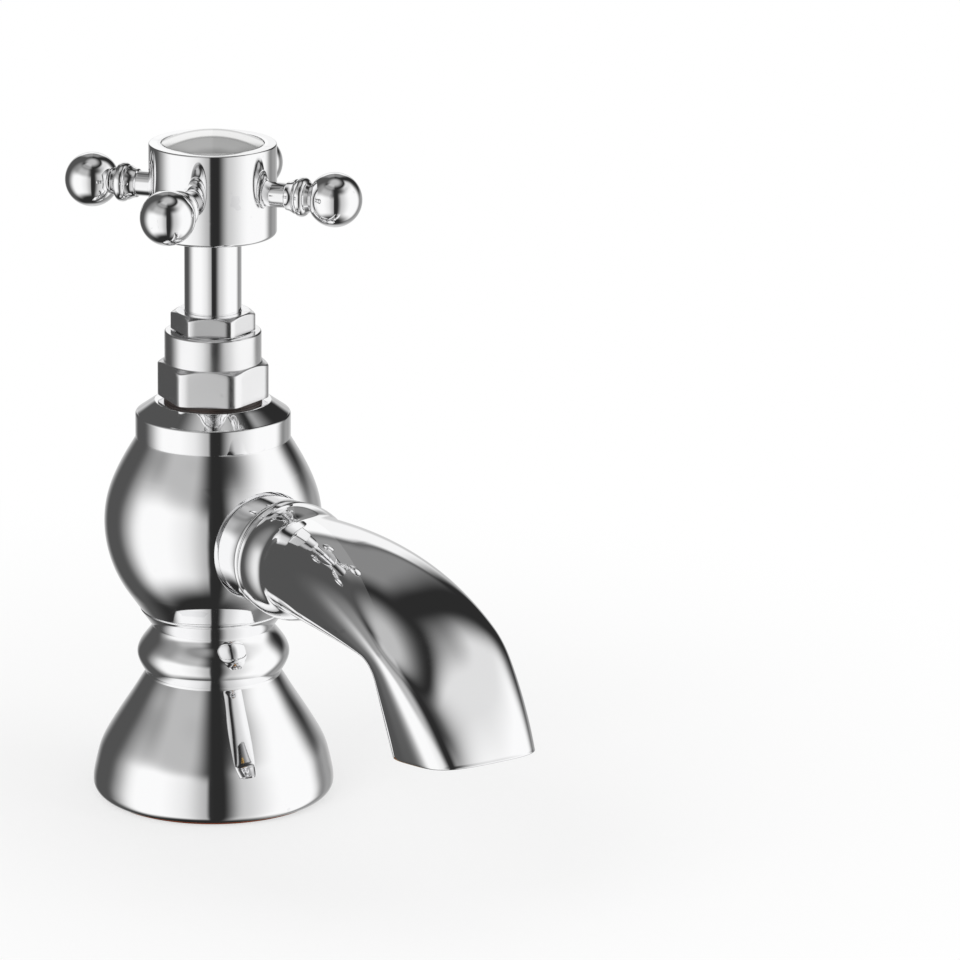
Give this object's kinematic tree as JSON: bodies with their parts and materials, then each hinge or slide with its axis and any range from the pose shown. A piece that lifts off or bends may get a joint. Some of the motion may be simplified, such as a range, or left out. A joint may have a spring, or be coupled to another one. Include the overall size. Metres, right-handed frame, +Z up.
{
  "type": "bath pillar tap",
  "caption": "Deck-mounted bath pillar tap with a flared foot, ball body, down-turned spout, rising spindle and cross handle.",
  "frame": {"origin": "centre of the foot on the deck plane, on the axis of the spindle and the supply tail", "axes": "+Z up along the spindle, spout along -Y, +X to the right seen from the spout's side"},
  "size_m": [0.0558, 0.1414, 0.2093],
  "materials": {
    "chrome_plate": "polished",
    "raw_brass": "machined",
    "rubber_black": "matt",
    "fibre_red": "matt fibre",
    "packing_white": "waxed packing",
    "steel_screw": "plain",
    "white_cap": "gloss"
  },
  "bodies": {
    "tap_body": {"pedestal": "chrome_plate", "ball_body": "chrome_plate", "spout_collar": "chrome_plate", "spout": "chrome_plate", "headwork_body": "chrome_plate", "gland_nut": "chrome_plate", "inlet_tail": "raw_brass", "backnut": "raw_brass", "base_seal": "rubber_black", "spout_seal": "rubber_black", "clamp_washer": "fibre_red", "headwork_washer": "fibre_red", "gland_packing": "packing_white"},
    "valve": {"jumper": "raw_brass", "jumper_washer": "rubber_black", "jumper_nut": "raw_brass"},
    "handle": {"spindle": "chrome_plate", "handle_hub": "chrome_plate", "handle_arm_1": "chrome_plate", "handle_arm_2": "chrome_plate", "handle_arm_3": "chrome_plate", "handle_arm_4": "chrome_plate", "cap_gasket": "rubber_black", "handle_screw": "steel_screw", "index_cap": "white_cap"}
  },
  "joints": [
    {"name": "valve_lift", "type": "slide", "parent": "tap_body", "child": "valve", "axis": [0, 0, 1], "range_m": [0, 0.00635]},
    {"name": "handle_turn", "type": "hinge", "parent": "valve", "child": "handle", "pos_m": [0, 0, 0.138], "axis": [0, 0, 1], "range_deg": [0, 900]}
  ],
  "couplings": [
    {"joint": "handle_turn", "follows": "valve_lift", "rad_per_m": 2473.7}
  ]
}
